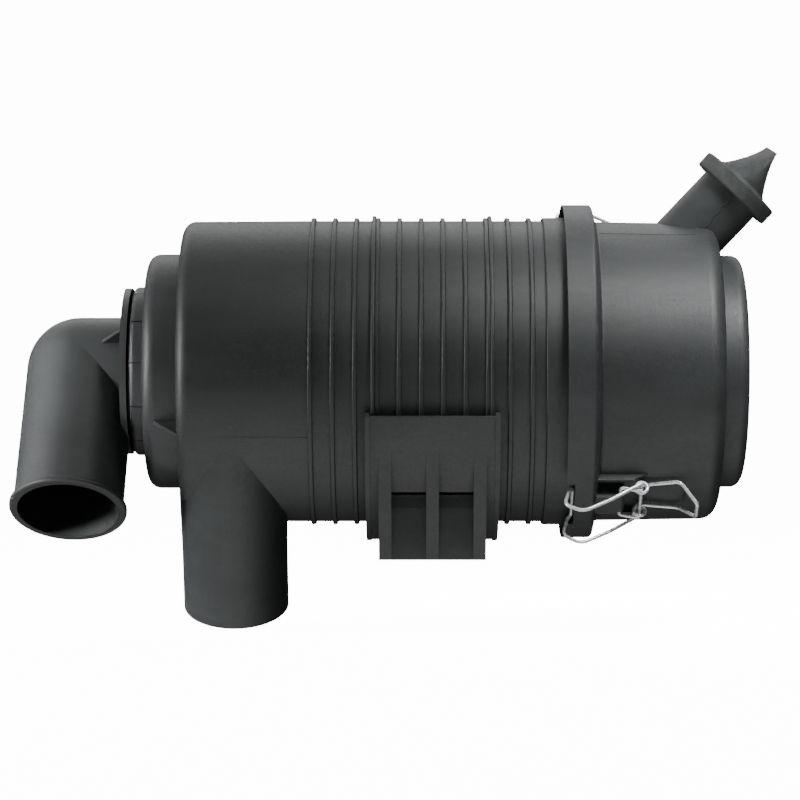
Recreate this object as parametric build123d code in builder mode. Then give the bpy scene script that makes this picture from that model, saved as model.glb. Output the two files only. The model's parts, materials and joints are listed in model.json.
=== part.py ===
"""Two-stage dry air filter housing: ribbed body, service cover, elbow, latches and filter elements.

Frame: +X runs along the housing from the outlet end to the service cover, +Z is up, and the
origin is the middle of the mounting foot's underside. All lengths are millimetres and all
angles are degrees. A direction around the housing axis is an angle measured from -Y (the
front) upwards, so 90 is the top and -90 is the bottom.
"""

from build123d import *
from math import cos, radians, sin, sqrt, tan
import os

# Driving dimensions
AXIS_HEIGHT = 140.7          # housing axis above the foot
BODY_R = 114.8               # outside of the body
BODY_END_R = 114.2           # outside of the body at the outlet end, after draft
WALL = 3.2                   # moulded wall of body and cover
BODY_LEFT = -188.6           # outlet-end face of the body
BODY_DRAFT_X = -100.0        # the draft runs from the outlet end to here
BODY_RIM_X = 116.0           # open rim that the cover seal presses on
RIM_STEP_X = 83.4            # the rim section starts here
RIM_TAPER = 4.0              # the bore widens to the rim over this length
RIM_R = 117.2                # outside of the rim section
LIP_X = 105.3                # face of the lip that the latch hooks pull on
LIP_W = 3.7
LIP_R = 123.3

RIB_PITCH = 16.32            # regular ribs
RIB_FIRST_X = -89.8
RIB_COUNT = 11
RIB_H = 2.3
RIB_W = 3.6
RIB_ROOT = 1.0               # sunk into the wall
RIB_ROUND = 1.0
TALL_RIB_X = 43.8            # two tall ribs that the bracket clips over
TALL_RIB_H = 3.9
TALL_RIB_W = 3.0
PARTING_ANGLE = -25.5        # mould parting line along the body

BOSS_R = 89.4                # outlet-end disc
BOSS_LEFT = -215.5
BOSS_FILLET = 9.0
BODY_FILLET = 9.0
GUSSET_TOP = (-189.0, 110.5) # upper corner of the two gussets between disc and body
GUSSET_W = 3.0

TUBE_R = 48.0                # outlet tube that the primary element seals on
TUBE_BORE_R = 44.0
TUBE_END_X = -150.0

INLET_X = -149.5             # inlet pipe, moulded tangentially into the body
INLET_TILT = 25.0            # leans this far backwards from straight down
INLET_OFFSET = 72.7          # its axis from the housing axis
INLET_LENGTH = 162.5
INLET_ROOT_R = 41.6
INLET_R = 40.0
INLET_BORE_R = 37.0
INLET_STRAIGHT = 50.0        # cylindrical hose seat at its end

COLLAR_R = 64.3              # snap-finger collar that holds the elbow
COLLAR_LEFT = -226.8
COLLAR_FILLET = 4.0
COLLAR_SLOTS = 12
COLLAR_SLOT_PHASE = 5.0
COLLAR_SLOT_LENGTH = 9.5
COLLAR_SLOT_DEPTH = 2.2
COLLAR_SLOT_W = 1.0
COLLAR_BORE_R = 49.2
COLLAR_RECESS_R = 53.0
COLLAR_RECESS_X = -219.3

ELBOW_TILT = 33.0            # leans this far forwards from straight down
ELBOW_LEAN = 1.3             # and this far away from the housing
ELBOW_X = -268.3             # axis of its hose pipe
ELBOW_REACH = 124.7
ELBOW_R = 41.0
ELBOW_BORE_R = 37.7
ELBOW_BEAD_R = 44.0
ELBOW_BEAD_W = 5.0
ELBOW_BEAD_FILLET = 2.0
ELBOW_FLANGE_R = 63.4
ELBOW_FLANGE_LEFT = -233.6
ELBOW_FLANGE_RIGHT = -228.6
ELBOW_GUSSET_R = 57.0
ELBOW_GUSSET_LENGTH = 15.0
SPIGOT_R = 48.6
SPIGOT_END_X = -215.8
SPIGOT_BEAD_R = 52.2
SPIGOT_BEAD_X = -218.9
O_RING_X = -223.0
O_RING_R = 1.6
O_RING_CENTRE_R = 47.5

COVER_LEFT = 98.8            # free edge of the skirt
SKIRT_R = 127.0
SKIRT_WALL = 2.5
SHOULDER_X = 118.5           # inner shoulder that carries the seal
COVER_STEP_X = 123.6
COVER_R = 114.0
COVER_END_R = 112.7
COVER_END_X = 215.9
COVER_END_FILLET = 12.0
COVER_BOSS_R = 88.5
COVER_BOSS_X = 235.1
COVER_BOSS_FILLET = 8.0

NECK_FOOT_X = 98.6           # the neck axis meets the housing axis here
NECK_ANGLE = 85.0
NECK_PITCH = 46.5            # its slope from the housing axis
NECK_R = 25.25
NECK_BORE_R = 22.0
NECK_START = 130.0           # along the neck axis
VALVE_START = 186.4
VALVE_R = 33.5
VALVE_RIM_H = 12.5
VALVE_BASE_H = 14.8
VALVE_BASE_R = 20.8
VALVE_TIP_H = 46.0
VALVE_WALL = 2.4
VALVE_FILLET = 1.6
VALVE_MID_T = 9.0            # half thickness of the bill half way up
VALVE_SLIT = 0.8
VALVE_LIP = (30.0, 2.0)      # width and thickness of the closed lips
VALVE_TWIST = 13.0

LATCH_ANGLES = {"front": -53.2, "rear": 126.8}
WIRE_R = 1.4
NOTCH_X = 105.2              # the skirt is notched back to here at each latch
NOTCH_HALF = 25.3
NOTCH_DEPTH = 20.0
POCKET_FLOOR = 112.0
POCKET_END_X = 202.0
POCKET_HALF = 20.9
POCKET_RAMP = 15.0           # length of the ramp at its far end
RAIL_START_X = 120.6
RAIL_END_X = 160.0
RAIL_RAMP = 12.0
RAIL_W = 2.0
RAIL_TOP = 117.5
LUG_X = (117.5, 142.4)
LUG_HALF = 9.6
LUG_TOP = 124.6
LUG_FILLET = 3.0
LEVER_PIN = (139.2, 121.2)   # along the housing, and from the housing axis
HOOK_PIN = (154.6, 119.8)
PIN_CLEARANCE = 0.2
COIL_R = 4.3                 # to the middle of the wire
COIL_OUTER = 17.2            # outer turn from the latch's middle plane
COIL_PITCH = 2.6
PIN_TIP = 5.0
WIRE_BEND = 2.5
HOOK_HALF = 21.0
HOOK_BAR_HALF = 16.4
HOOK_BAR = (103.6, 121.7)    # bears on the housing's lip
HANDLE_BEND = (183.3, 115.3)
HANDLE_HALF = 16.6
HANDLE_END = (195.8, 129.8)
HANDLE_TIP_HALF = 8.0

BRACKET_HALF = 49.5
BRACKET_R = 128.5
BRACKET_WALL = 4.0
BRACKET_FLANGE = 3.5
FLANGE_RISE = 0.8            # the side flanges stand this far above the shell
BRACKET_EDGE = 15.6          # its top edges are this far below the horizontal
SLOPE_ANGLE = 25.0           # the foot's slopes leave the shell here
FOOT_HALF = 76.0             # reach of the foot at its underside
RIB_X_BRACKET = 35.0         # outer foot ribs
FOOT_RIB_W = 9.4
SADDLE_END = (91.8, 50.8)    # lower edge of the saddle panel, distance from middle and height
POCKET_DEPTH = 8.0
POCKET_WALL = 5.0
WALL_OVERLAP = (12.0, 2.0)    # a pocket's back wall reaches this far below and above the panel edge
RIB_INSET = 6.0              # the ribs stop this far inside the shell
FOOT_PLATE = 9.0
INSERT_SPACING = (34.7, 110.0)
INSERT_R = 6.0
INSERT_BORE_R = 3.4
INSERT_H = 16.0
INSERT_BOSS_R = 9.5
INSERT_BOSS_H = 19.0

GUIDE_R = 100.0              # inlet shield around the primary element
GUIDE_WALL = 2.5
GUIDE_END_X = -60.0

PRIMARY = {"left": -185.0, "seal": 20.0, "right": 205.0, "cap": 10.0, "outer": 90.0, "inner": 62.0}
PRIMARY_CAP_R = 94.0
PLEATS = 72
PLEAT_WALL = 9.0             # paper thickness measured along the radius at a fold
SAFETY = {"left": -178.0, "seal": 30.0, "right": 190.0, "cap": 6.0, "outer": 42.0, "inner": 34.0}
LINER = 1.2
BAFFLE_R = 76.0
BAFFLE_WALL = 3.0

# Frame of the housing axis
CENTRE = Vector(0, 0, AXIS_HEIGHT)
HOUSING_AXIS = Axis(CENTRE, (1, 0, 0))
PROFILE = Plane(CENTRE, x_dir=(1, 0, 0), z_dir=(0, -1, 0))


def outward(angle):
    """Unit vector away from the housing axis at an angle around it."""
    return Vector(0, -cos(radians(angle)), sin(radians(angle)))


def side_plane(angle):
    """Plane through the housing axis: x along the housing, y outwards at the angle."""
    return Plane(CENTRE, x_dir=(1, 0, 0), z_dir=(0, -sin(radians(angle)), -cos(radians(angle))))


def across_plane(x):
    """Plane across the housing axis at x: local x to the front, local y up."""
    return Plane(CENTRE + Vector(x, 0, 0), x_dir=(0, -1, 0), z_dir=(-1, 0, 0))


def rounded_line(corners, closed=False):
    """Draw straight runs through corners, each a point and a radius, with arcs at the corners."""
    points = [Vector(point) for point, _ in corners]
    ends = []
    count = len(corners)
    for i, (_, radius) in enumerate(corners):
        here = points[i]
        open_end = not closed and i in (0, count - 1)
        if radius == 0 or open_end:
            ends.append((here, here, here))
            continue
        back = (points[i - 1] - here).normalized()
        ahead = (points[(i + 1) % count] - here).normalized()
        half = radians(back.get_angle(ahead)) / 2
        middle = (back + ahead).normalized() * (radius / sin(half) - radius)
        reach = radius / tan(half)
        ends.append((here + back * reach, here + middle, here + ahead * reach))
    for i, (enter, through, leave) in enumerate(ends):
        if (leave - enter).length > 0:
            ThreePointArc(tuple(enter), tuple(through), tuple(leave))
        if closed or i < count - 1:
            onward = ends[(i + 1) % count][0]
            if (onward - leave).length > 1e-6:
                Line(tuple(leave), tuple(onward))


def revolved(corners, mode=Mode.ADD):
    """Turn a closed outline of (x, radius) corners about the housing axis."""
    with BuildSketch(PROFILE) as outline:
        with BuildLine():
            rounded_line(corners, closed=True)
        make_face()
    revolve(outline.sketch, axis=HOUSING_AXIS, mode=mode)


def ring(left, right, inner, outer, mode=Mode.ADD):
    """A plain ring or disc around the housing axis."""
    revolved([((left, inner), 0), ((right, inner), 0), ((right, outer), 0), ((left, outer), 0)], mode)


def save(part, name):
    part.label = name
    export_step(part, f"parts/{name}.step")


os.makedirs("parts", exist_ok=True)

# Inlet pipe frame: z runs down the pipe
inlet_down = Vector(0, sin(radians(INLET_TILT)), -cos(radians(INLET_TILT)))
inlet_side = Vector(0, -cos(radians(INLET_TILT)), -sin(radians(INLET_TILT)))
inlet_root = CENTRE + Vector(INLET_X, 0, 0) + inlet_side * INLET_OFFSET
INLET = Plane(inlet_root, x_dir=(1, 0, 0), z_dir=inlet_down)

# Neck frame: z runs up the neck
neck_up = Vector(1, 0, 0) * cos(radians(NECK_PITCH)) + outward(NECK_ANGLE) * sin(radians(NECK_PITCH))
neck_across = side_plane(NECK_ANGLE).z_dir * -1
NECK = Plane(CENTRE + Vector(NECK_FOOT_X, 0, 0), x_dir=neck_across, z_dir=neck_up)

# Elbow frame: z runs down the hose pipe
elbow_tilt = Vector(0, -sin(radians(ELBOW_TILT)), -cos(radians(ELBOW_TILT)))
elbow_down = elbow_tilt * cos(radians(ELBOW_LEAN)) - Vector(1, 0, 0) * sin(radians(ELBOW_LEAN))
ELBOW = Plane(CENTRE + Vector(ELBOW_X, 0, 0), x_dir=(1, 0, 0), z_dir=elbow_down)

ELBOW_CORNER = Plane(ELBOW.origin, x_dir=Vector(1, 0, 0).cross(elbow_down), z_dir=(1, 0, 0))
ELBOW_GUSSET_ANGLES = (ELBOW_TILT, ELBOW_TILT + 180)

# Housing body ---------------------------------------------------------------------------------
with BuildPart() as housing_body:
    revolved([
        ((BOSS_LEFT, 0), 0),
        ((BOSS_LEFT, BOSS_R), BOSS_FILLET),
        ((BODY_LEFT, BOSS_R), 0),
        ((BODY_LEFT, BODY_END_R), BODY_FILLET),
        ((BODY_DRAFT_X, BODY_R), 0),
        ((RIM_STEP_X, BODY_R), 0),
        ((RIM_STEP_X, RIM_R), 1.0),
        ((LIP_X, RIM_R), 0),
        ((LIP_X, LIP_R), 0.8),
        ((LIP_X + LIP_W, LIP_R), 0.8),
        ((LIP_X + LIP_W, RIM_R), 0),
        ((BODY_RIM_X, RIM_R), 0),
        ((BODY_RIM_X, 0), 0),
    ])
    # Inlet pipe: a drafted length, then the straight hose seat
    taper_end = INLET_LENGTH - INLET_STRAIGHT
    with BuildSketch(INLET):
        Circle(INLET_ROOT_R)
    with BuildSketch(INLET.offset(taper_end)):
        Circle(INLET_R)
    loft()
    with BuildSketch(INLET.offset(taper_end)):
        Circle(INLET_R)
    extrude(amount=INLET_STRAIGHT)
    # Gussets beside the outlet disc, in the parting plane
    gusset_left = BOSS_LEFT + BOSS_FILLET
    gusset_right = BODY_LEFT + WALL + 1
    for angle in (PARTING_ANGLE, PARTING_ANGLE + 180):
        with BuildSketch(side_plane(angle)):
            with BuildLine():
                Polyline((gusset_left, BOSS_R - WALL), (gusset_left, BOSS_R), GUSSET_TOP,
                         (gusset_right, GUSSET_TOP[1]), (gusset_right, BOSS_R - WALL), close=True)
            make_face()
        extrude(amount=GUSSET_W / 2, both=True)
    # Hollow: main chamber and the space inside the outlet disc
    inner_r = BODY_R - WALL
    revolved([
        ((BOSS_LEFT + WALL, 0), 0),
        ((BOSS_LEFT + WALL, BOSS_R - WALL), BOSS_FILLET - WALL),
        ((BODY_LEFT + WALL, BOSS_R - WALL), 0),
        ((BODY_LEFT + WALL, BODY_END_R - WALL), BODY_FILLET - WALL),
        ((BODY_DRAFT_X, inner_r), 0),
        ((RIM_STEP_X, inner_r), 0),
        ((RIM_STEP_X + RIM_TAPER, RIM_R - WALL), 0),
        ((BODY_RIM_X, RIM_R - WALL), 0),
        ((BODY_RIM_X, 0), 0),
    ], mode=Mode.SUBTRACT)
    with BuildSketch(INLET):
        Circle(INLET_BORE_R)
    extrude(amount=INLET_LENGTH, mode=Mode.SUBTRACT)
    # Ribs
    with BuildSketch(PROFILE):
        for i in range(RIB_COUNT):
            with Locations((RIB_FIRST_X + i * RIB_PITCH, BODY_R + (RIB_H - RIB_ROOT) / 2)):
                RectangleRounded(RIB_W, RIB_H + RIB_ROOT, RIB_ROUND)
        for x in (-TALL_RIB_X, TALL_RIB_X):
            with Locations((x, BODY_R + (TALL_RIB_H - RIB_ROOT) / 2)):
                RectangleRounded(TALL_RIB_W, TALL_RIB_H + RIB_ROOT, RIB_ROUND)
    revolve(axis=HOUSING_AXIS)
    # Outlet tube
    ring(BOSS_LEFT, TUBE_END_X, TUBE_BORE_R, TUBE_R)
    ring(BOSS_LEFT, TUBE_END_X, 0, TUBE_BORE_R, mode=Mode.SUBTRACT)
save(housing_body.part, "housing_body")

# Inlet shield inside the body -----------------------------------------------------------------
with BuildPart() as guide_tube:
    ring(BODY_LEFT + WALL, GUIDE_END_X, GUIDE_R - GUIDE_WALL, GUIDE_R)
save(guide_tube.part, "guide_tube")

# Outlet collar: a ring of snap fingers --------------------------------------------------------
with BuildPart() as outlet_collar:
    revolved([
        ((COLLAR_LEFT, COLLAR_BORE_R), 0),
        ((COLLAR_LEFT, COLLAR_R), COLLAR_FILLET),
        ((BOSS_LEFT, COLLAR_R), 0),
        ((BOSS_LEFT, COLLAR_RECESS_R), 0),
        ((COLLAR_RECESS_X, COLLAR_RECESS_R), 0),
        ((COLLAR_RECESS_X, COLLAR_BORE_R), 0),
    ])
    for i in range(COLLAR_SLOTS):
        with BuildSketch(side_plane(COLLAR_SLOT_PHASE + i * 360 / COLLAR_SLOTS)):
            with Locations((COLLAR_LEFT, COLLAR_R)):
                Rectangle(2 * COLLAR_SLOT_LENGTH, 2 * COLLAR_SLOT_DEPTH)
        extrude(amount=COLLAR_SLOT_W / 2, both=True, mode=Mode.SUBTRACT)
save(outlet_collar.part, "outlet_collar")

# Outlet elbow ---------------------------------------------------------------------------------
def elbow_pipe(radius, right, mode):
    """The elbow's two straight pipes and the quarter sphere outside their corner, as a solid."""
    ring(ELBOW_X, right, 0, radius, mode=mode)
    with BuildSketch(ELBOW) as section:
        Circle(radius)
    extrude(section.sketch, amount=ELBOW_REACH, mode=mode)
    with BuildSketch(ELBOW_CORNER) as half_disc:
        Circle(radius)
        Rectangle(2 * radius, radius, align=(Align.CENTER, Align.MAX), mode=Mode.SUBTRACT)
    corner_axis = Axis(ELBOW.origin, ELBOW_CORNER.x_dir * -1)
    revolve(half_disc.sketch, axis=corner_axis, revolution_arc=90 - ELBOW_LEAN, mode=mode)


with BuildPart() as outlet_elbow:
    elbow_pipe(ELBOW_R, ELBOW_FLANGE_LEFT + 1, Mode.ADD)
    # Hose bead
    with BuildSketch(ELBOW.offset(ELBOW_REACH - ELBOW_BEAD_W)):
        Circle(ELBOW_BEAD_R)
    extrude(amount=ELBOW_BEAD_W)
    bead_edges = edges().filter_by(lambda e: e.geom_type == GeomType.CIRCLE and e.radius == ELBOW_BEAD_R)
    fillet(bead_edges, ELBOW_BEAD_FILLET)
    # Flange and spigot with its snap bead
    ring(ELBOW_FLANGE_LEFT, ELBOW_FLANGE_RIGHT, 0, ELBOW_FLANGE_R)
    ring(ELBOW_FLANGE_RIGHT - 1, SPIGOT_END_X, 0, SPIGOT_R)
    ring(SPIGOT_BEAD_X, SPIGOT_END_X, SPIGOT_R - 1, SPIGOT_BEAD_R)
    groove = O_RING_R + 0.2
    ring(O_RING_X - groove, O_RING_X + groove, O_RING_CENTRE_R - O_RING_R, SPIGOT_R + 1, mode=Mode.SUBTRACT)
    # Gussets between flange and pipe, square to the hose pipe
    gusset_end = ELBOW_FLANGE_LEFT - ELBOW_GUSSET_LENGTH
    for angle in ELBOW_GUSSET_ANGLES:
        with BuildSketch(side_plane(angle)):
            with BuildLine():
                Polyline((ELBOW_FLANGE_LEFT + 1, ELBOW_R - 1), (ELBOW_FLANGE_LEFT + 1, ELBOW_GUSSET_R),
                         (ELBOW_FLANGE_LEFT, ELBOW_GUSSET_R), (gusset_end, ELBOW_R),
                         (gusset_end, ELBOW_R - 1), close=True)
            make_face()
        extrude(amount=GUSSET_W / 2, both=True)
    elbow_pipe(ELBOW_BORE_R, SPIGOT_END_X, Mode.SUBTRACT)
save(outlet_elbow.part, "outlet_elbow")

with BuildPart() as elbow_seal:
    with Locations(Location(CENTRE + Vector(O_RING_X, 0, 0), (0, 90, 0))):
        Torus(O_RING_CENTRE_R, O_RING_R)
save(elbow_seal.part, "elbow_seal")

# Service cover --------------------------------------------------------------------------------
with BuildPart() as service_cover:
    revolved([
        ((COVER_LEFT, 0), 0),
        ((COVER_LEFT, SKIRT_R), 0),
        ((SHOULDER_X + 2, SKIRT_R), 3),
        ((COVER_STEP_X, COVER_R), 2),
        ((COVER_END_X, COVER_END_R), COVER_END_FILLET),
        ((COVER_END_X, COVER_BOSS_R), 0),
        ((COVER_BOSS_X, COVER_BOSS_R), COVER_BOSS_FILLET),
        ((COVER_BOSS_X, 0), 0),
    ])
    with BuildSketch(NECK.offset(NECK_START)):
        Circle(NECK_R)
    extrude(amount=VALVE_START + VALVE_RIM_H - 1.5 - NECK_START)
    for angle in LATCH_ANGLES.values():
        latch = side_plane(angle)
        # Flat-floored pocket, open at the skirt
        with BuildSketch(latch):
            with BuildLine():
                Polyline((COVER_STEP_X, POCKET_FLOOR), (POCKET_END_X - POCKET_RAMP, POCKET_FLOOR),
                         (POCKET_END_X, SKIRT_R), (COVER_STEP_X, SKIRT_R), close=True)
            make_face()
        extrude(amount=POCKET_HALF, both=True, mode=Mode.SUBTRACT)
        # Notch in the skirt for the hook's bar
        with BuildSketch(latch):
            with Locations(((COVER_LEFT + NOTCH_X) / 2, SKIRT_R)):
                Rectangle(NOTCH_X - COVER_LEFT, NOTCH_DEPTH)
        extrude(amount=NOTCH_HALF, both=True, mode=Mode.SUBTRACT)
        # Side rails of the pocket
        rail_root = POCKET_FLOOR - 1
        for side in (-1, 1):
            with BuildSketch(latch.offset(side * POCKET_HALF)):
                with BuildLine():
                    Polyline((RAIL_START_X, rail_root), (RAIL_START_X, RAIL_TOP),
                             (RAIL_END_X - RAIL_RAMP, RAIL_TOP), (RAIL_END_X, rail_root), close=True)
                make_face()
            extrude(amount=RAIL_W / 2, both=True)
        # Lug that carries the lever
        with BuildSketch(latch):
            with BuildLine():
                rounded_line([
                    ((LUG_X[0], POCKET_FLOOR - 1), 0),
                    ((LUG_X[0], LUG_TOP), 0),
                    ((LUG_X[1], LUG_TOP), LUG_FILLET),
                    ((LUG_X[1], POCKET_FLOOR - 1), 0),
                ], closed=True)
            make_face()
        extrude(amount=LUG_HALF, both=True)
    # Hollow
    revolved([
        ((COVER_LEFT, 0), 0),
        ((COVER_LEFT, SKIRT_R - SKIRT_WALL), 0),
        ((SHOULDER_X, SKIRT_R - SKIRT_WALL), 0),
        ((SHOULDER_X, COVER_R - WALL), 0),
        ((COVER_END_X - WALL, COVER_END_R - WALL), COVER_END_FILLET - WALL),
        ((COVER_END_X - WALL, COVER_BOSS_R - WALL), 0),
        ((COVER_BOSS_X - WALL, COVER_BOSS_R - WALL), COVER_BOSS_FILLET - WALL),
        ((COVER_BOSS_X - WALL, 0), 0),
    ], mode=Mode.SUBTRACT)
    with BuildSketch(NECK.offset(NECK_START - 10)):
        Circle(NECK_BORE_R)
    extrude(amount=VALVE_START + VALVE_RIM_H - NECK_START + 10, mode=Mode.SUBTRACT)
    # Blind holes for the lever's pins
    for angle in LATCH_ANGLES.values():
        latch = side_plane(angle)
        for side in (-1, 1):
            with BuildSketch(latch.offset(side * (PIN_TIP - 1))):
                with Locations(LEVER_PIN):
                    Circle(WIRE_R + PIN_CLEARANCE)
            extrude(amount=side * (LUG_HALF - PIN_TIP + 2), mode=Mode.SUBTRACT)
save(service_cover.part, "service_cover")

with BuildPart() as cover_seal:
    ring(BODY_RIM_X, SHOULDER_X, RIM_R - WALL - 1.5, RIM_R + 0.8)
save(cover_seal.part, "cover_seal")

with BuildPart() as cover_baffle:
    ring(PRIMARY["right"] + 1, COVER_BOSS_X - WALL, BAFFLE_R - BAFFLE_WALL, BAFFLE_R)
save(cover_baffle.part, "cover_baffle")

# Dust valve -----------------------------------------------------------------------------------
with BuildPart() as dust_valve:
    valve = NECK.offset(VALVE_START)
    turned = Plane(valve.origin, x_dir=valve.x_dir.rotate(Axis((0, 0, 0), valve.z_dir), VALVE_TWIST),
                   z_dir=valve.z_dir)
    with BuildSketch(valve):
        Circle(VALVE_R)
    extrude(amount=VALVE_RIM_H)
    fillet(edges().group_by(SortBy.LENGTH)[-1], VALVE_FILLET)
    with BuildSketch(valve.offset(VALVE_RIM_H - 2)):
        Circle(VALVE_BASE_R + 3)
    with BuildSketch(valve.offset(VALVE_BASE_H)):
        Circle(VALVE_BASE_R)
    loft()
    lip_w, lip_t = VALVE_LIP
    mid_h = (VALVE_BASE_H + VALVE_TIP_H) / 2
    mid_w = (VALVE_BASE_R + lip_w / 2) / 2 + 1.5
    with BuildSketch(turned.offset(VALVE_BASE_H - 1)):
        Circle(VALVE_BASE_R)
    with BuildSketch(turned.offset(mid_h)):
        Ellipse(mid_w, VALVE_MID_T)
    with BuildSketch(turned.offset(VALVE_TIP_H)):
        Ellipse(lip_w / 2, lip_t / 2)
    loft()
    # Hollow bill, open through the slit
    with BuildSketch(turned.offset(VALVE_BASE_H - 1)):
        Circle(VALVE_BASE_R - VALVE_WALL)
    with BuildSketch(turned.offset(mid_h)):
        Ellipse(mid_w - VALVE_WALL, VALVE_MID_T - VALVE_WALL)
    with BuildSketch(turned.offset(VALVE_TIP_H)):
        Ellipse(lip_w / 2 - VALVE_SLIT, VALVE_SLIT / 2)
    loft(mode=Mode.SUBTRACT)
    # Socket over the neck
    with BuildSketch(valve):
        Circle(NECK_R)
    extrude(amount=VALVE_RIM_H - 1.5, mode=Mode.SUBTRACT)
    with BuildSketch(valve):
        Circle(VALVE_BASE_R - VALVE_WALL)
    extrude(amount=VALVE_BASE_H, mode=Mode.SUBTRACT)
save(dust_valve.part, "dust_valve")

# Latches --------------------------------------------------------------------------------------
for side_name, angle in LATCH_ANGLES.items():
    latch = side_plane(angle)
    pin_u, pin_h = LEVER_PIN
    hook_u, hook_h = HOOK_PIN
    inner_turn = COIL_OUTER - COIL_PITCH

    with BuildPart() as latch_lever:
        # Pin and stub to the coil
        with BuildLine(latch) as stub:
            rounded_line([
                ((pin_u, pin_h, PIN_TIP), 0),
                ((pin_u, pin_h, COIL_OUTER), WIRE_BEND),
                ((hook_u + 1, hook_h + COIL_R - 0.6, COIL_OUTER), 0),
            ])
        with BuildSketch(Plane(stub.line @ 0, z_dir=stub.line % 0)):
            Circle(WIRE_R)
        sweep(path=stub.line)
        # Coil, as a plain sleeve of two turns
        with BuildSketch(latch.offset(inner_turn - WIRE_R)):
            with Locations(HOOK_PIN):
                Circle(COIL_R + WIRE_R)
                Circle(COIL_R - WIRE_R, mode=Mode.SUBTRACT)
        extrude(amount=COIL_PITCH + 2 * WIRE_R)
        # Handle arm and half of the end crosspiece
        with BuildLine(latch) as arm:
            rounded_line([
                ((hook_u, hook_h - COIL_R, inner_turn), 0),
                ((HANDLE_BEND[0], HANDLE_BEND[1], HANDLE_HALF), 7),
                ((HANDLE_END[0], HANDLE_END[1], HANDLE_TIP_HALF), 4),
                ((HANDLE_END[0], HANDLE_END[1], 0), 0),
            ])
        with BuildSketch(Plane(arm.line @ 0, z_dir=arm.line % 0)):
            Circle(WIRE_R)
        sweep(path=arm.line)
        mirror(about=latch)
    save(latch_lever.part, f"latch_lever_{side_name}")

    with BuildPart() as latch_hook:
        with BuildLine(latch) as bail:
            rounded_line([
                ((hook_u, hook_h, 0), 0),
                ((hook_u, hook_h, HOOK_HALF), WIRE_BEND),
                ((132.0, 134.2, HOOK_HALF), 30),
                ((110.5, 145.1, HOOK_HALF), 11),
                ((97.0, 138.0, HOOK_HALF - 1.5), 6),
                ((100.5, 125.5, HOOK_BAR_HALF + 1.4), 4),
                ((*HOOK_BAR, HOOK_BAR_HALF), 2),
                ((*HOOK_BAR, 0), 0),
            ])
        with BuildSketch(Plane(bail.line @ 0, z_dir=bail.line % 0)):
            Circle(WIRE_R)
        sweep(path=bail.line)
        mirror(about=latch)
    save(latch_hook.part, f"latch_hook_{side_name}")

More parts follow.
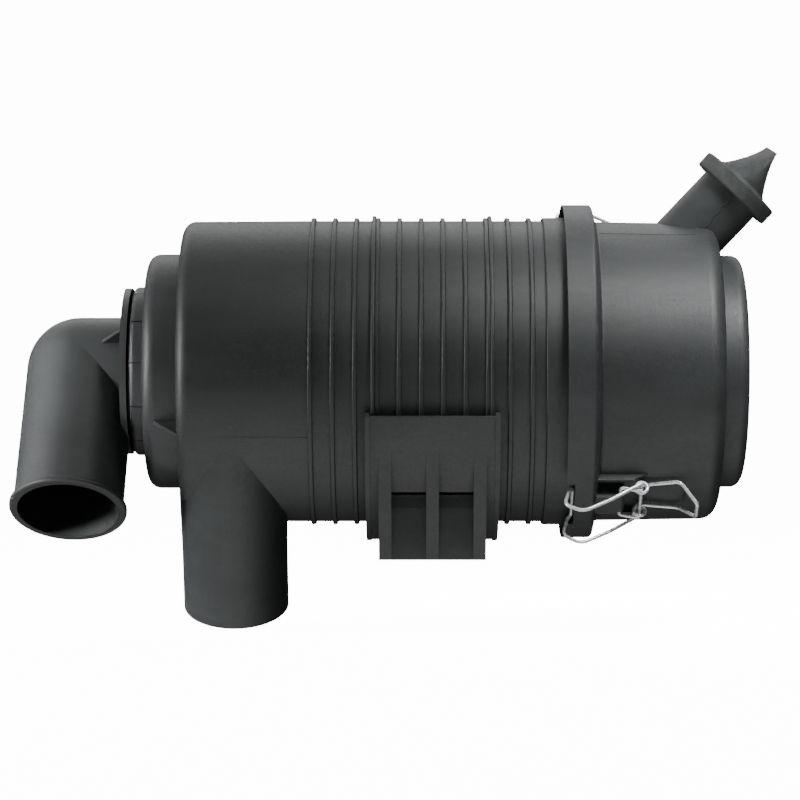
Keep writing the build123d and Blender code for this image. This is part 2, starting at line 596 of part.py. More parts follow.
# Mounting bracket -----------------------------------------------------------------------------
slope_y = BRACKET_R * cos(radians(SLOPE_ANGLE))
slope_z = AXIS_HEIGHT - BRACKET_R * sin(radians(SLOPE_ANGLE))
edge_y = 2 * BRACKET_R
edge_drop = edge_y * tan(radians(BRACKET_EDGE))
BASE = Plane((0, 0, 0), x_dir=(0, 1, 0), z_dir=(1, 0, 0))
with BuildPart() as mounting_bracket:
    # Foot ribs with sloping front and back faces
    rib_planes = [BASE.offset(x) for x in (-RIB_X_BRACKET, 0, RIB_X_BRACKET)]
    with BuildSketch(*rib_planes):
        with BuildLine():
            Polyline((-FOOT_HALF, 0), (FOOT_HALF, 0), (slope_y, slope_z), (-slope_y, slope_z), close=True)
        make_face()
    extrude(amount=FOOT_RIB_W / 2, both=True)
    # Core behind the pockets
    saddle_y, saddle_z = SADDLE_END
    core_y = saddle_y - POCKET_DEPTH
    core_back = core_y - POCKET_WALL
    wall_foot = saddle_z - WALL_OVERLAP[0]
    wall_top = saddle_z + WALL_OVERLAP[1]
    with BuildSketch(BASE):
        with BuildLine():
            Polyline((-FOOT_HALF, 0), (FOOT_HALF, 0), (core_y, saddle_z), (core_y, wall_top),
                     (-core_y, wall_top), (-core_y, saddle_z), close=True)
        make_face()
    extrude(amount=RIB_X_BRACKET, both=True)
    # Saddle shell
    with BuildSketch(across_plane(-BRACKET_HALF)):
        Circle(BRACKET_R)
    extrude(amount=-2 * BRACKET_HALF)
    for x in (-BRACKET_HALF, BRACKET_HALF - BRACKET_FLANGE):
        with BuildSketch(across_plane(x)):
            Circle(BRACKET_R + FLANGE_RISE)
        extrude(amount=-BRACKET_FLANGE)
    # Room for the housing: shell inside, and the bore of the side flanges
    with BuildSketch(across_plane(-BRACKET_HALF)):
        Circle(BODY_R)
    extrude(amount=-2 * BRACKET_HALF, mode=Mode.SUBTRACT)
    with BuildSketch(across_plane(-BRACKET_HALF + BRACKET_FLANGE)):
        Circle(BRACKET_R - BRACKET_WALL)
    extrude(amount=-2 * (BRACKET_HALF - BRACKET_FLANGE), mode=Mode.SUBTRACT)
    # The shell stops at the saddle panel's lower edge between the foot ribs
    pocket_half = (RIB_X_BRACKET - FOOT_RIB_W) / 2
    pocket_mids = [side * RIB_X_BRACKET / 2 for side in (-1, 1)]
    with BuildSketch(*[BASE.offset(x) for x in pocket_mids]):
        with BuildLine():
            Polyline((BRACKET_R, saddle_z), (core_y, saddle_z), (FOOT_HALF, 0), (BRACKET_R, 0),
                     close=True)
        make_face()
        mirror(about=Plane.YZ)
    extrude(amount=pocket_half, both=True, mode=Mode.SUBTRACT)
    # Back walls of the pockets, up behind the panel's edge
    with BuildSketch(BASE):
        with BuildLine():
            Polyline((core_back, wall_foot), (core_back, wall_top), (core_y, wall_top), (core_y, wall_foot),
                     close=True)
        make_face()
        mirror(about=Plane.YZ)
    extrude(amount=RIB_X_BRACKET, both=True)
    # Top edges
    with BuildSketch(BASE):
        with BuildLine():
            Polyline((0, AXIS_HEIGHT), (edge_y, AXIS_HEIGHT - edge_drop), (edge_y, AXIS_HEIGHT + edge_y),
                     (-edge_y, AXIS_HEIGHT + edge_y), (-edge_y, AXIS_HEIGHT - edge_drop), close=True)
        make_face()
    extrude(amount=BRACKET_HALF + 1, both=True, mode=Mode.SUBTRACT)
    # Cored out from the housing side, leaving the foot plate and the insert bosses
    with BuildSketch(BASE):
        with BuildLine():
            Polyline((-FOOT_HALF + FOOT_PLATE, FOOT_PLATE), (FOOT_HALF - FOOT_PLATE, FOOT_PLATE),
                     (core_back, saddle_z), (core_back, AXIS_HEIGHT), (-core_back, AXIS_HEIGHT),
                     (-core_back, saddle_z), close=True)
        make_face()
    core_sketch_half = RIB_X_BRACKET - FOOT_RIB_W / 2
    extrude(amount=core_sketch_half, both=True, mode=Mode.SUBTRACT)
    with BuildSketch(BASE):
        with BuildLine():
            Polyline((-FOOT_HALF, 0), (FOOT_HALF, 0), (slope_y - RIB_INSET, slope_z),
                     (-slope_y + RIB_INSET, slope_z), close=True)
        make_face()
    extrude(amount=FOOT_RIB_W / 2, both=True)
    with BuildSketch(Plane.XY):
        with GridLocations(*INSERT_SPACING, 2, 2):
            Circle(INSERT_BOSS_R)
    extrude(amount=INSERT_BOSS_H)
    with BuildSketch(across_plane(-BRACKET_HALF + BRACKET_FLANGE)):
        Circle(BRACKET_R - BRACKET_WALL)
    extrude(amount=-2 * (BRACKET_HALF - BRACKET_FLANGE), mode=Mode.SUBTRACT)
    with BuildSketch(Plane.XY):
        with GridLocations(*INSERT_SPACING, 2, 2):
            Circle(INSERT_R)
    extrude(amount=INSERT_H, mode=Mode.SUBTRACT)
save(mounting_bracket.part, "mounting_bracket")

with BuildPart() as bracket_inserts:
    with BuildSketch(Plane.XY):
        with GridLocations(*INSERT_SPACING, 2, 2):
            Circle(INSERT_R)
            Circle(INSERT_BORE_R, mode=Mode.SUBTRACT)
    extrude(amount=INSERT_H)
save(bracket_inserts.part, "bracket_inserts")

# Filter elements ------------------------------------------------------------------------------
media_left = PRIMARY["left"] + PRIMARY["seal"] - 8
media_right = PRIMARY["right"] - PRIMARY["cap"]

with BuildPart() as primary_seal_cap:
    ring(PRIMARY["left"], media_left, TUBE_R, PRIMARY_CAP_R)
save(primary_seal_cap.part, "primary_seal_cap")

with BuildPart() as primary_outer_liner:
    ring(media_left, media_right, PRIMARY["outer"], PRIMARY["outer"] + LINER)
save(primary_outer_liner.part, "primary_outer_liner")

with BuildPart() as primary_media:
    half_pleat = radians(180 / PLEATS)
    outer_folds = []
    inner_folds = []
    for i in range(PLEATS):
        tip = 2 * i * half_pleat
        valley = tip + half_pleat
        valley_r = PRIMARY["inner"] + PLEAT_WALL
        tip_r = PRIMARY["outer"] - PLEAT_WALL
        outer_folds.append((PRIMARY["outer"] * cos(tip), PRIMARY["outer"] * sin(tip)))
        outer_folds.append((valley_r * cos(valley), valley_r * sin(valley)))
        inner_folds.append((tip_r * cos(tip), tip_r * sin(tip)))
        inner_folds.append((PRIMARY["inner"] * cos(valley), PRIMARY["inner"] * sin(valley)))
    with BuildSketch(across_plane(media_left)):
        with BuildLine():
            Polyline(*outer_folds, close=True)
        make_face()
        with BuildLine():
            Polyline(*inner_folds, close=True)
        make_face(mode=Mode.SUBTRACT)
    extrude(amount=media_left - media_right)
save(primary_media.part, "primary_media")

with BuildPart() as primary_inner_liner:
    ring(media_left, media_right, PRIMARY["inner"] - LINER, PRIMARY["inner"])
save(primary_inner_liner.part, "primary_inner_liner")

with BuildPart() as primary_end_cap:
    ring(media_right, PRIMARY["right"], 0, PRIMARY_CAP_R)
save(primary_end_cap.part, "primary_end_cap")

safety_left = SAFETY["left"] + SAFETY["seal"]
safety_right = SAFETY["right"] - SAFETY["cap"]

with BuildPart() as safety_seal_cap:
    ring(SAFETY["left"], safety_left, SAFETY["inner"] - LINER, TUBE_BORE_R)
save(safety_seal_cap.part, "safety_seal_cap")

with BuildPart() as safety_media:
    ring(safety_left, safety_right, SAFETY["inner"], SAFETY["outer"])
save(safety_media.part, "safety_media")

with BuildPart() as safety_liner:
    ring(safety_left, safety_right, SAFETY["inner"] - LINER, SAFETY["inner"])
save(safety_liner.part, "safety_liner")

with BuildPart() as safety_end_cap:
    ring(safety_right, SAFETY["right"], 0, SAFETY["outer"])
save(safety_end_cap.part, "safety_end_cap")
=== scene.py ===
"""Looks for the air filter housing: materials, latch wires, mould seams, light and camera."""
import json
from math import cos, pi, radians, sin, tan

import bmesh
import bpy
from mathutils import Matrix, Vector


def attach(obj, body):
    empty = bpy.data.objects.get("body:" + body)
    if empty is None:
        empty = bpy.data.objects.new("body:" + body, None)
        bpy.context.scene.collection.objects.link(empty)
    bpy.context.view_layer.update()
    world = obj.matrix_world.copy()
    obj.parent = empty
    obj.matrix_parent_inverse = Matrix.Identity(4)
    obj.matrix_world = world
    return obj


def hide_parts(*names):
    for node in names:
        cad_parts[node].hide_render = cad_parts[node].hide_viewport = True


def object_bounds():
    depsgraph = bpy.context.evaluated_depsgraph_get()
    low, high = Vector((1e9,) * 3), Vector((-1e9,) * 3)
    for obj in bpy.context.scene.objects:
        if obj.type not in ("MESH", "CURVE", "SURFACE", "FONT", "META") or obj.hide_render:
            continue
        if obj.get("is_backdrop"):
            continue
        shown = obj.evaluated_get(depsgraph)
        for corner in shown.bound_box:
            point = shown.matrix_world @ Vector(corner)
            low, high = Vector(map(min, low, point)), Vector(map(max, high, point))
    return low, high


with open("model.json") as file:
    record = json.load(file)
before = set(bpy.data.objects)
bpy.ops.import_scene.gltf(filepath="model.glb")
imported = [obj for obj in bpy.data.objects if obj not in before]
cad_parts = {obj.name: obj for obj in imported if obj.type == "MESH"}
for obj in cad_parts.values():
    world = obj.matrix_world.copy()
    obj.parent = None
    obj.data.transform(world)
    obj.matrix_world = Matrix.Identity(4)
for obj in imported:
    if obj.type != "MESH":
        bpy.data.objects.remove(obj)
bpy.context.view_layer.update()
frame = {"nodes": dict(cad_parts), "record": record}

MM = 0.001
nodes = frame["nodes"]
scene = bpy.context.scene

# Layout: lengths in metres, angles in degrees up from the front
AXIS = Vector((0, 0, 140.7 * MM))
LATCH_ANGLES = {"front": -53.2, "rear": 126.8}
NECK_ANGLE = 85


def outward(angle):
    """Unit vector away from the housing axis, at an angle up from the front."""
    return Vector((0, -cos(radians(angle)), sin(radians(angle))))


def around(angle):
    """Unit vector around the housing axis, towards larger angles."""
    return Vector((0, sin(radians(angle)), cos(radians(angle))))


# ---------------------------------------------------------------------------------------------
# Node helpers

class Shader:
    """A material's node tree with short helpers."""

    def __init__(self, name):
        self.material = bpy.data.materials.new(name)
        self.material.use_nodes = True
        self.tree = self.material.node_tree
        self.bsdf = self.tree.nodes["Principled BSDF"]
        coords = self.tree.nodes.new("ShaderNodeTexCoord")
        self.place = coords.outputs["Object"]

    def link(self, source, target):
        self.tree.links.new(source, target)

    def stretched(self, scale):
        mapping = self.tree.nodes.new("ShaderNodeMapping")
        mapping.inputs["Scale"].default_value = scale
        self.link(self.place, mapping.inputs["Vector"])
        return mapping.outputs["Vector"]

    def noise(self, scale, detail=2.0, rough=0.5, vector=None):
        node = self.tree.nodes.new("ShaderNodeTexNoise")
        node.inputs["Scale"].default_value = scale
        node.inputs["Detail"].default_value = detail
        node.inputs["Roughness"].default_value = rough
        self.link(vector or self.place, node.inputs["Vector"])
        return node.outputs["Fac"]

    def ramp(self, value, low, high, out_low=0.0, out_high=1.0):
        node = self.tree.nodes.new("ShaderNodeMapRange")
        node.inputs["From Min"].default_value = low
        node.inputs["From Max"].default_value = high
        node.inputs["To Min"].default_value = out_low
        node.inputs["To Max"].default_value = out_high
        self.link(value, node.inputs["Value"])
        return node.outputs["Result"]

    def maths(self, operation, a, b):
        node = self.tree.nodes.new("ShaderNodeMath")
        node.operation = operation
        for socket, value in zip(node.inputs, (a, b)):
            if isinstance(value, (int, float)):
                socket.default_value = value
            else:
                self.link(value, socket)
        return node.outputs["Value"]

    def mix(self, factor, a, b):
        node = self.tree.nodes.new("ShaderNodeMix")
        node.data_type = "RGBA"
        self.link(factor, node.inputs["Factor"])
        for socket, value in ((node.inputs[6], a), (node.inputs[7], b)):
            if isinstance(value, tuple):
                socket.default_value = (*value, 1)
            else:
                self.link(value, socket)
        return node.outputs[2]

    def bump(self, height, distance, strength=1.0, normal=None):
        node = self.tree.nodes.new("ShaderNodeBump")
        node.inputs["Distance"].default_value = distance
        node.inputs["Strength"].default_value = strength
        self.link(height, node.inputs["Height"])
        if normal is not None:
            self.link(normal, node.inputs["Normal"])
        return node.outputs["Normal"]


# Noise scales, in features per metre, and bump heights, in metres
FLOW_SCALE = 28
FLOW_STRETCH = (0.35, 1, 1)
GRAIN_SCALE = 2600
GRAIN_COARSE_SCALE = 900
GRAIN_HEIGHT = 0.00006
GRAIN_COARSE_HEIGHT = GRAIN_HEIGHT * 1.4
SCUFF_SCALE = 60
SCUFF_STRETCH = (0.25, 1.6, 3.2)
SCUFF_PATCH_SCALE = 9
SCUFF_STRENGTH = 0.30
SPECK_STRENGTH = 0.45
SHEEN_SCALE = 420
WAVE_SCALE = 16
WAVE_HEIGHT = 0.00025


def moulded_plastic(name, dark, light, roughness=0.5):
    """Spark-textured black plastic: fine grain, faint flow mottling and scuffs."""
    s = Shader(name)
    flow = s.noise(FLOW_SCALE, 4, 0.6, s.stretched(FLOW_STRETCH))
    colour = s.mix(s.ramp(flow, 0.35, 0.68), dark, light)
    fine = s.noise(GRAIN_SCALE, 2)
    pale = tuple(min(1, c * 1.9 + 0.01) for c in light)
    specks = s.maths("MULTIPLY", s.ramp(fine, 0.60, 0.78), SPECK_STRENGTH)
    colour = s.mix(specks, colour, pale)
    scuffs = s.noise(SCUFF_SCALE, 6, 0.75, s.stretched(SCUFF_STRETCH))
    patches = s.ramp(s.noise(SCUFF_PATCH_SCALE, 3), 0.45, 0.7)
    scuff_mask = s.maths("MULTIPLY", s.ramp(scuffs, 0.62, 0.72, 0, SCUFF_STRENGTH), patches)
    colour = s.mix(scuff_mask, colour, pale)
    s.link(colour, s.bsdf.inputs["Base Color"])
    rough = s.ramp(s.noise(SHEEN_SCALE, 3), 0.3, 0.7, roughness - 0.05, roughness + 0.06)
    rough = s.maths("ADD", rough, s.maths("MULTIPLY", scuff_mask, 0.25))
    s.link(rough, s.bsdf.inputs["Roughness"])
    s.bsdf.inputs["Specular IOR Level"].default_value = 0.5
    waves = s.bump(s.noise(WAVE_SCALE, 2), WAVE_HEIGHT, 0.35)
    coarse = s.bump(s.noise(GRAIN_COARSE_SCALE, 2), GRAIN_COARSE_HEIGHT, 0.6, waves)
    s.link(s.bump(fine, GRAIN_HEIGHT, 0.8, coarse), s.bsdf.inputs["Normal"])
    return s.material


BLOOM_SCALE = 70
RUBBER_SHEEN_SCALE = 300
SKIN_SCALE = 120
SKIN_HEIGHT = 0.0002
SKIN_FINE_SCALE = 1800
SKIN_FINE_HEIGHT = 0.00005


def rubber(name, dark, light, roughness=0.7):
    """Moulded rubber with bloom and a soft, slightly uneven skin."""
    s = Shader(name)
    bloom = s.noise(BLOOM_SCALE, 5, 0.65)
    s.link(s.mix(s.ramp(bloom, 0.4, 0.72), dark, light), s.bsdf.inputs["Base Color"])
    rough = s.ramp(s.noise(RUBBER_SHEEN_SCALE, 3), 0.3, 0.7, roughness - 0.08, roughness + 0.08)
    s.link(rough, s.bsdf.inputs["Roughness"])
    skin = s.bump(s.noise(SKIN_SCALE, 3), SKIN_HEIGHT, 0.5)
    s.link(s.bump(s.noise(SKIN_FINE_SCALE, 2), SKIN_FINE_HEIGHT, 0.7, skin), s.bsdf.inputs["Normal"])
    s.bsdf.inputs["Specular IOR Level"].default_value = 0.4
    return s.material


PLATING_SCALE = 240
METAL_SHEEN_SCALE = 900
SCRATCH_SCALE = 1500
SCRATCH_HEIGHT = 0.00002
SCRATCH_STRENGTH = 0.5


def plated_metal(name, colour, tint, roughness, metallic=1.0):
    """Plated or turned metal with drawing marks and uneven plating."""
    s = Shader(name)
    s.bsdf.inputs["Metallic"].default_value = metallic
    cloud = s.noise(PLATING_SCALE, 4, 0.6)
    s.link(s.mix(s.ramp(cloud, 0.35, 0.7), colour, tint), s.bsdf.inputs["Base Color"])
    rough = s.ramp(s.noise(METAL_SHEEN_SCALE, 3), 0.3, 0.75, roughness - 0.06, roughness + 0.16)
    s.link(rough, s.bsdf.inputs["Roughness"])
    s.link(s.bump(s.noise(SCRATCH_SCALE, 3), SCRATCH_HEIGHT, SCRATCH_STRENGTH), s.bsdf.inputs["Normal"])
    return s.material


PAPER_CREASES = 160
CREASE_HEIGHT = 0.002


def pleated_paper(name, colour, crease_painted_shade):
    """Filter paper with creases that run along the housing, and painted shade that darkens every other
    crease line.
    """
    s = Shader(name)
    gradient = s.tree.nodes.new("ShaderNodeTexGradient")
    gradient.gradient_type = "RADIAL"
    turned = s.tree.nodes.new("ShaderNodeMapping")
    turned.inputs["Location"].default_value = (0, 0, -AXIS.z)
    s.link(s.place, turned.inputs["Vector"])
    upright = s.tree.nodes.new("ShaderNodeMapping")
    upright.inputs["Rotation"].default_value = (0, pi / 2, 0)
    s.link(turned.outputs["Vector"], upright.inputs["Vector"])
    s.link(upright.outputs["Vector"], gradient.inputs["Vector"])
    pleat = s.maths("PINGPONG", s.maths("MULTIPLY", gradient.outputs["Fac"], PAPER_CREASES), 0.5)
    # Painted shade: the colour darkens towards every other crease line, as if those folds lay in shadow
    s.link(s.mix(s.ramp(pleat, 0, 0.5), crease_painted_shade, colour), s.bsdf.inputs["Base Color"])
    s.link(s.bump(pleat, CREASE_HEIGHT), s.bsdf.inputs["Normal"])
    s.bsdf.inputs["Roughness"].default_value = 0.9
    return s.material


# Colours are linear: the darker and the lighter end of each material's mottling; for the papers, the
# paper's own colour and then the painted shade of its creases
BODY = moulded_plastic("body_plastic", (0.0165, 0.0185, 0.0190), (0.0260, 0.0290, 0.0295), 0.5)
COVER = moulded_plastic("cover_plastic", (0.0190, 0.0215, 0.0220), (0.0300, 0.0335, 0.0345), 0.52)
ELBOW = moulded_plastic("elbow_plastic", (0.0160, 0.0175, 0.0180), (0.0250, 0.0275, 0.0280), 0.48)
BRACKET = moulded_plastic("bracket_plastic", (0.0215, 0.0235, 0.0235), (0.0330, 0.0355, 0.0350), 0.54)
VALVE = rubber("valve_rubber", (0.026, 0.029, 0.029), (0.050, 0.054, 0.053))
SEAL = rubber("seal_rubber", (0.012, 0.012, 0.012), (0.022, 0.022, 0.022), 0.6)
CAP = rubber("element_cap", (0.05, 0.05, 0.06), (0.09, 0.09, 0.10), 0.65)
ZINC = plated_metal("zinc_wire", (0.90, 0.91, 0.92), (0.78, 0.80, 0.83), 0.28, 0.6)
BRASS = plated_metal("brass_insert", (0.72, 0.56, 0.28), (0.60, 0.45, 0.20), 0.3)
LINER = plated_metal("liner_steel", (0.58, 0.59, 0.60), (0.48, 0.49, 0.50), 0.4)
MEDIA = pleated_paper("filter_media", (0.80, 0.72, 0.52), (0.45, 0.38, 0.24))
FELT = pleated_paper("safety_media", (0.84, 0.83, 0.78), (0.60, 0.59, 0.55))

SLOT_MATERIALS = {
    "body_plastic": BODY, "cover_plastic": COVER, "elbow_plastic": ELBOW, "bracket_plastic": BRACKET,
    "valve_rubber": VALVE, "seal_rubber": SEAL, "element_cap": CAP, "zinc_wire": ZINC,
    "brass_insert": BRASS, "liner_steel": LINER, "filter_media": MEDIA, "safety_media": FELT,
}


def finish_with(obj, material):
    obj.data.materials.clear()
    obj.data.materials.append(material)


for entry in frame["record"]["subparts"]:
    finish_with(nodes[entry["node"]], SLOT_MATERIALS[entry["material_slot"]])


# ---------------------------------------------------------------------------------------------
# Mesh helpers

def add_mesh(name, build, body, slot, smooth_angle):
    """Make a piece from a function that fills a bmesh, and give it its body and finish."""
    mesh = bpy.data.meshes.new(name)
    work = bmesh.new()
    build(work)
    bmesh.ops.recalc_face_normals(work, faces=work.faces)
    for face in work.faces:
        face.smooth = True
    for edge in work.edges:
        if len(edge.link_faces) == 2 and edge.calc_face_angle() > radians(smooth_angle):
            edge.smooth = False
    work.to_mesh(mesh)
    work.free()
    piece = bpy.data.objects.new(name, mesh)
    scene.collection.objects.link(piece)
    finish_with(piece, SLOT_MATERIALS[slot])
    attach(piece, body)
    return piece


BEND_STEP = radians(9)
TUBE_SIDES = 16
TIP_BULGE = 0.35
TIP_SHRINK = 0.6
WIRE_SMOOTH_ANGLE = 60


def rounded_path(corners):
    """Points along straight runs through corners, each a point and a radius, with round corners."""
    points = [Vector(c[0]) for c in corners]
    path = [points[0]]
    for i in range(1, len(points) - 1):
        here = points[i]
        radius = corners[i][1]
        back = (points[i - 1] - here).normalized()
        ahead = (points[i + 1] - here).normalized()
        half = back.angle(ahead) / 2
        if radius == 0 or half > radians(89):
            path.append(here)
            continue
        centre = here + (back + ahead).normalized() * (radius / sin(half))
        start = here + back * (radius / tan(half)) - centre
        stop = here + ahead * (radius / tan(half)) - centre
        turn = pi - 2 * half
        count = max(2, int(turn / BEND_STEP))
        for k in range(count + 1):
            t = k / count
            a = sin((1 - t) * turn) / sin(turn)
            b = sin(t * turn) / sin(turn)
            path.append(centre + start * a + stop * b)
    path.append(points[-1])
    return path


def sweep_tube(work, path, radius, sides=TUBE_SIDES, closed=False):
    """Sweep a round section along a path, with rounded free ends."""
    count = len(path)
    rings = []
    previous = None
    for i, here in enumerate(path):
        if closed:
            along = (path[(i + 1) % count] - path[i - 1]).normalized()
        else:
            along = (path[min(i + 1, count - 1)] - path[max(i - 1, 0)]).normalized()
        if previous is None:
            side = along.orthogonal().normalized()
        else:
            side = (previous - along * previous.dot(along)).normalized()
        previous = side
        up = along.cross(side)
        ring = []
        for k in range(sides):
            a = 2 * pi * k / sides
            ring.append(work.verts.new(here + (side * cos(a) + up * sin(a)) * radius))
        rings.append(ring)
    pairs = list(zip(rings, rings[1:]))
    if closed:
        first = rings[0]
        last = rings[-1]
        shift = min(range(sides), key=lambda s: (first[s].co - last[0].co).length)
        pairs.append((last, first[shift:] + first[:shift]))
    for a, b in pairs:
        for k in range(sides):
            work.faces.new((a[k], a[(k + 1) % sides], b[(k + 1) % sides], b[k]))
    if closed:
        return
    for ring, tip, inner in ((rings[0], path[0], path[1]), (rings[-1], path[-1], path[-2])):
        inset = []
        middle = tip + (tip - inner).normalized() * radius * TIP_BULGE
        for v in ring:
            inset.append(work.verts.new(middle + (v.co - tip) * TIP_SHRINK))
        for k in range(sides):
            work.faces.new((ring[k], ring[(k + 1) % sides], inset[(k + 1) % sides], inset[k]))
        work.faces.new(inset)


# ---------------------------------------------------------------------------------------------
# Latches: points are along the housing, from its axis and across the latch, in millimetres

def latch_point(angle, u, h, w):
    """A point given along the housing, from its axis, and across the latch, in millimetres."""
    return AXIS + Vector((u * MM, 0, 0)) + outward(angle) * h * MM - around(angle) * w * MM


WIRE_R = 1.4 * MM
LEVER_PIN = (139.2, 121.2)
HOOK_PIN = (154.6, 119.8)
COIL_R = 4.3
COIL_TURNS = 1.5
COIL_STEPS = 44
COIL_INNER = 13.1
COIL_OUTER = 17.2
PIN_TIP = 5.0
HANDLE_END = (195.8, 129.8)
HANDLE_TIP_HALF = 8.0
HANDLE_BEND = (183.3, 115.3)
HANDLE_HALF = 16.6
HOOK_BAR = (103.6, 121.7)
HOOK_BAR_HALF = 16.4
HOOK_THROAT = (100.5, 125.5, 17.8)
HOOK_RISE = (97.0, 138.0, 19.5)
HOOK_BOW = (110.5, 145.1)
HOOK_ARM = (132.0, 134.2)
HOOK_HALF = 21.0


def lever_half():
    """The lever's wire from its end crosspiece to its pin, for positive w."""
    u, h = HOOK_PIN
    arm = rounded_path([
        ((*HANDLE_END, 0), 0),
        ((*HANDLE_END, HANDLE_TIP_HALF), 4),
        ((*HANDLE_BEND, HANDLE_HALF), 7),
        ((u + 5, h - COIL_R, COIL_INNER), 6),
        ((u, h - COIL_R, COIL_INNER), 0),
    ])
    coil = []
    for k in range(1, COIL_STEPS):
        t = k / COIL_STEPS
        a = -pi / 2 - 2 * pi * COIL_TURNS * t
        across = COIL_INNER + (COIL_OUTER - COIL_INNER) * t
        coil.append(Vector((u + COIL_R * cos(a), h + COIL_R * sin(a), across)))
    stub = rounded_path([
        ((u, h + COIL_R, COIL_OUTER), 0),
        ((LEVER_PIN[0] + 6, LEVER_PIN[1] + 1.4, COIL_OUTER), 6),
        ((*LEVER_PIN, COIL_OUTER), 2.2),
        ((*LEVER_PIN, PIN_TIP), 0),
    ])
    return arm + coil + stub


def hook_half():
    """The hook's wire from its lip bar to its crossbar, for positive w."""
    return rounded_path([
        ((*HOOK_BAR, 0), 0),
        ((*HOOK_BAR, HOOK_BAR_HALF), 2),
        (HOOK_THROAT, 4),
        (HOOK_RISE, 6),
        ((*HOOK_BOW, HOOK_HALF), 11),
        ((*HOOK_ARM, HOOK_HALF), 30),
        ((*HOOK_PIN, HOOK_HALF), 2.5),
        ((*HOOK_PIN, 0), 0),
    ])


def both_halves(half):
    """The half path for negative w, reversed, followed by the half path for positive w."""
    mirrored = [Vector((p.x, p.y, -p.z)) for p in half]
    return list(reversed(mirrored)) + half[1:]


def latch_wire(name, path, closed, body, node):
    """A latch's wire in place of its plain node."""
    wire = add_mesh(name, lambda work: sweep_tube(work, path, WIRE_R, closed=closed),
                    body, "zinc_wire", WIRE_SMOOTH_ANGLE)
    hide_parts(node)


for side, angle in LATCH_ANGLES.items():
    lever_path = [latch_point(angle, *p) for p in both_halves(lever_half())]
    latch_wire(f"lever_wire_{side}", lever_path, False, f"lever_{side}", f"latch_lever_{side}")
    hook_path = [latch_point(angle, *p) for p in both_halves(hook_half())[:-1]]
    latch_wire(f"hook_wire_{side}", hook_path, True, f"hook_{side}", f"latch_hook_{side}")


# ---------------------------------------------------------------------------------------------
# Mould parting lines: places are along the housing and from its axis, in millimetres

SEAM_R = 0.35 * MM
FLASH_R = 0.6 * MM
SEAM_SIDES = 8
BODY_PARTING_ANGLE = -25.5
BODY_PARTING = [(-180, 114.0), (-140, 114.3), (-100, 114.6), (-92.4, 114.6)]
COVER_PARTING_ANGLE = 64.5
COVER_PARTING = [(125, 113.8), (160, 113.4), (198, 113.0)]


def seam(name, points, radius, body, slot):
    """A fine raised line along points on the surface."""
    add_mesh(name, lambda work: sweep_tube(work, points, radius, SEAM_SIDES), body, slot,
             WIRE_SMOOTH_ANGLE)


def along_housing(angle, places):
    """Points in one plane through the housing's axis."""
    return [AXIS + Vector((x * MM, 0, 0)) + outward(angle) * r * MM for x, r in places]


body_line = along_housing(BODY_PARTING_ANGLE, BODY_PARTING)
seam("body_parting_line", body_line, SEAM_R, "housing", "body_plastic")
cover_line = along_housing(COVER_PARTING_ANGLE, COVER_PARTING)
seam("cover_parting_line", cover_line, SEAM_R, "cover", "cover_plastic")

# Flash on the neck: places are up its axis in millimetres and round from its front in radians
NECK_PITCH = 46.5
NECK_FOOT = AXIS + Vector((98.6 * MM, 0, 0))
NECK_R = 25.2 * MM
NECK_FLASH = [
    (138, 0.22), (144, 0.14), (149, 0.20), (154, 0.10), (159, 0.15), (164, 0.06), (169, 0.12),
    (174, 0.04), (179, 0.10), (184, 0.05), (187, 0.08),
]
ROOT_FLASH = [
    (136, 0.62), (139, 0.50), (137, 0.40), (141, 0.30), (138, 0.20), (142, 0.10), (139, 0.0),
    (143, -0.10), (140, -0.2),
]
neck_along = Vector((1, 0, 0)) * cos(radians(NECK_PITCH))
neck_up = (neck_along + outward(NECK_ANGLE) * sin(radians(NECK_PITCH))).normalized()
neck_front = Vector((0, -1, 0))
neck_front = (neck_front - neck_up * neck_front.dot(neck_up)).normalized()
neck_side = neck_up.cross(neck_front)


def on_neck(t, turn):
    """A point on the neck's surface."""
    return NECK_FOOT + neck_up * t * MM + (neck_front * cos(turn) + neck_side * sin(turn)) * NECK_R


for flash, places in (("neck_flash", NECK_FLASH), ("neck_root_flash", ROOT_FLASH)):
    seam(flash, [on_neck(t, turn) for t, turn in places], FLASH_R, "cover", "cover_plastic")


# ---------------------------------------------------------------------------------------------
# Stage, light and camera

FLOOR_GAP = 0.0015
FLOOR_HALF = 30
BACKDROP_R = 12
BACKDROP_HEIGHT = 40
BACKDROP_SIDES = 96
STAGE_WHITE = 14.0

# Each panel of the studio: its direction, the cosines from it where it starts and is full, and strength
STUDIO_BASE = 0.025
PANELS = [
    ((0, 0.1, 1), 0.15, 1.0, 0.66),
    ((-1, -0.2, 0.1), 0.72, 1.0, 0.9),
    ((0, -0.5, -1), 0.5, 1.0, 1.45),
]

# Each light: name, place, target, size, power in watts, and spread in degrees
FULL_SPREAD = 180
LIGHTS = [
    ("top_softbox", (0.0, 1.1, 1.3), (0, 0, 0.15), (2.4, 0.9), 12, FULL_SPREAD),
    ("cover_softbox", (0.50, -0.52, 0.92), (0.23, -0.02, 0.16), (0.4, 0.4), 1.25, 40),
    ("elbow_softbox", (-1.35, -0.70, 0.30), (-0.37, -0.02, 0.07), (0.15, 0.3), 0.9, 14),
    ("left_softbox", (-1.55, -0.42, 0.25), (-0.3, 0, 0.1), (0.5, 0.9), 20, FULL_SPREAD),
]

LENS = 144.1
SENSOR_WIDTH = 36
CAMERA_SHIFT = -0.0187
CAMERA_PLACE = (-0.0129, -2.45, 0.1187)


def area_light(name, place, target, size, power, spread):
    """A soft rectangular lamp that the camera doesn't see."""
    data = bpy.data.lights.new(name, "AREA")
    data.shape = "RECTANGLE"
    data.size, data.size_y = size
    data.energy = power
    data.spread = radians(spread)
    lamp = bpy.data.objects.new(name, data)
    lamp.location = place
    lamp.rotation_euler = (Vector(target) - Vector(place)).to_track_quat("-Z", "Y").to_euler()
    lamp.visible_camera = False
    scene.collection.objects.link(lamp)


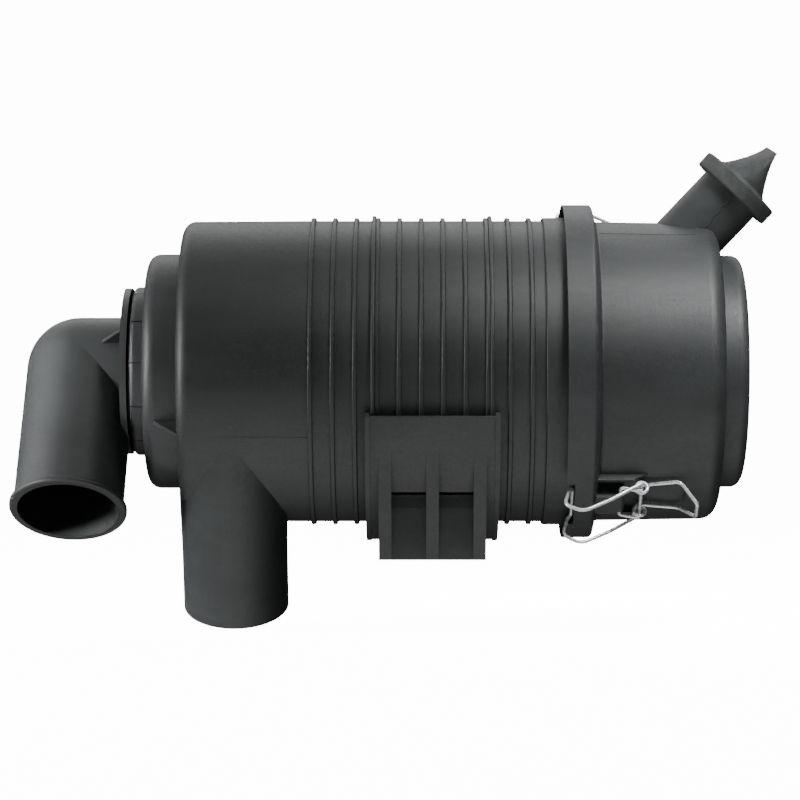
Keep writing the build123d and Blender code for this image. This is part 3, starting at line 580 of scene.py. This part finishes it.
def glowing_paper(name, strength):
    """White paper bright enough to stay white beside dark plastic."""
    paper = bpy.data.materials.new(name)
    paper.use_nodes = True
    shader = paper.node_tree.nodes["Principled BSDF"]
    shader.inputs["Base Color"].default_value = (0.95, 0.95, 0.95, 1)
    shader.inputs["Roughness"].default_value = 0.9
    shader.inputs["Emission Color"].default_value = (1, 1, 1, 1)
    shader.inputs["Emission Strength"].default_value = strength
    return paper


def stage_piece(name, build):
    """A part of the stage that neither lights the object nor shows in it."""
    mesh = bpy.data.meshes.new(name)
    work = bmesh.new()
    build(work)
    work.to_mesh(mesh)
    work.free()
    piece = bpy.data.objects.new(name, mesh)
    scene.collection.objects.link(piece)
    mesh.materials.append(glowing_paper(f"pale_{name}", STAGE_WHITE))
    piece.visible_diffuse = False
    piece.visible_glossy = False
    piece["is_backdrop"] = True
    return piece


low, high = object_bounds()
floor = stage_piece("floor", lambda work: bmesh.ops.create_grid(
    work, x_segments=1, y_segments=1, size=FLOOR_HALF))
floor.location = (0, 0, low.z - FLOOR_GAP)
backdrop = stage_piece("backdrop", lambda work: bmesh.ops.create_cone(
    work, segments=BACKDROP_SIDES, radius1=BACKDROP_R, radius2=BACKDROP_R, depth=BACKDROP_HEIGHT))
backdrop.visible_shadow = False

# The studio around the object: dim, with broad soft panels
world = bpy.data.worlds.new("studio")
scene.world = world
world.use_nodes = True
sky = world.node_tree
direction = sky.nodes.new("ShaderNodeTexCoord").outputs["Generated"]
total = None
for way, edge, full, strength in PANELS:
    dot = sky.nodes.new("ShaderNodeVectorMath")
    dot.operation = "DOT_PRODUCT"
    dot.inputs[1].default_value = Vector(way).normalized()
    sky.links.new(direction, dot.inputs[0])
    panel = sky.nodes.new("ShaderNodeMapRange")
    panel.interpolation_type = "SMOOTHSTEP"
    panel.inputs["From Min"].default_value = edge
    panel.inputs["From Max"].default_value = full
    panel.inputs["To Min"].default_value = 0
    panel.inputs["To Max"].default_value = strength
    sky.links.new(dot.outputs["Value"], panel.inputs["Value"])
    add = sky.nodes.new("ShaderNodeMath")
    add.operation = "ADD"
    add.inputs[0].default_value = STUDIO_BASE
    if total is not None:
        sky.links.new(total, add.inputs[0])
    sky.links.new(panel.outputs["Result"], add.inputs[1])
    total = add.outputs["Value"]
sky.nodes["Background"].inputs["Color"].default_value = (1, 1, 1, 1)
sky.links.new(total, sky.nodes["Background"].inputs["Strength"])

for light in LIGHTS:
    area_light(*light)

camera_data = bpy.data.cameras.new("camera")
camera_data.sensor_width = SENSOR_WIDTH
camera_data.lens = LENS
camera_data.shift_x = CAMERA_SHIFT
camera = bpy.data.objects.new("camera", camera_data)
camera.location = CAMERA_PLACE
camera.rotation_euler = (pi / 2, 0, 0)
scene.collection.objects.link(camera)
scene.camera = camera

low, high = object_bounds()
